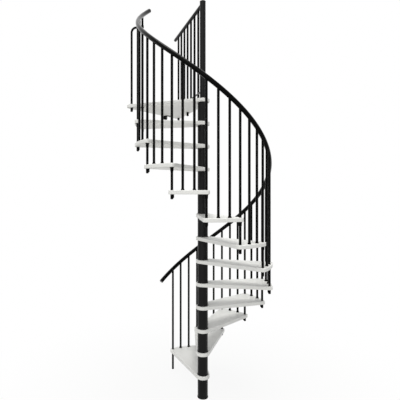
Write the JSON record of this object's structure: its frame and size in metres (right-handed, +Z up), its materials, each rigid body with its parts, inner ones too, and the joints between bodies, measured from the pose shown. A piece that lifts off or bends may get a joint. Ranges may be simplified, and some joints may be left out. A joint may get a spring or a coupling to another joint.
{
  "type": "spiral staircase",
  "caption": "Spiral staircase: white wedge treads on a black centre column, black round balusters, a helical handrail, and a wedge landing with its own rail.",
  "frame": {"origin": "on the column's axis, at the middle of the base flange's lower face, level with the floor", "axes": "+Z up along the column; +Y away from the viewer and +X to the right in the view from the front"},
  "size_m": [1.4074, 1.4721, 3.8881],
  "materials": {
    "white_tread": "satin white paint",
    "column_black": "satin black powder coat",
    "rail_black": "satin black powder coat",
    "baluster_black": "satin black powder coat",
    "fitting_black": "matte black",
    "bar_grey": "satin grey paint"
  },
  "bodies": {
    "root": {"tread_01": "white_tread", "tread_02": "white_tread", "tread_03": "white_tread", "tread_04": "white_tread", "tread_05": "white_tread", "tread_06": "white_tread", "tread_07": "white_tread", "tread_08": "white_tread", "tread_09": "white_tread", "tread_10": "white_tread", "tread_11": "white_tread", "tread_12": "white_tread", "landing": "white_tread", "column_tube_01": "column_black", "column_tube_02": "column_black", "column_tube_03": "column_black", "column_tube_04": "column_black", "column_tube_05": "column_black", "column_tube_06": "column_black", "column_tube_07": "column_black", "column_tube_08": "column_black", "column_tube_09": "column_black", "column_tube_10": "column_black", "column_tube_11": "column_black", "column_tube_12": "column_black", "column_tube_13": "column_black", "base_flange": "column_black", "centre_pole": "column_black", "pole_cap": "column_black", "handrail": "rail_black", "landing_rail": "rail_black", "long_balusters": "baluster_black", "short_balusters": "baluster_black", "landing_balusters": "baluster_black", "hoop_baluster": "baluster_black", "baluster_rosettes": "fitting_black", "tread_collars": "fitting_black", "end_nuts": "fitting_black", "hoop_clip": "fitting_black", "fixing_block": "fitting_black", "toe_bar": "bar_grey", "fixing_plate": "bar_grey"}
  },
  "joints": []
}
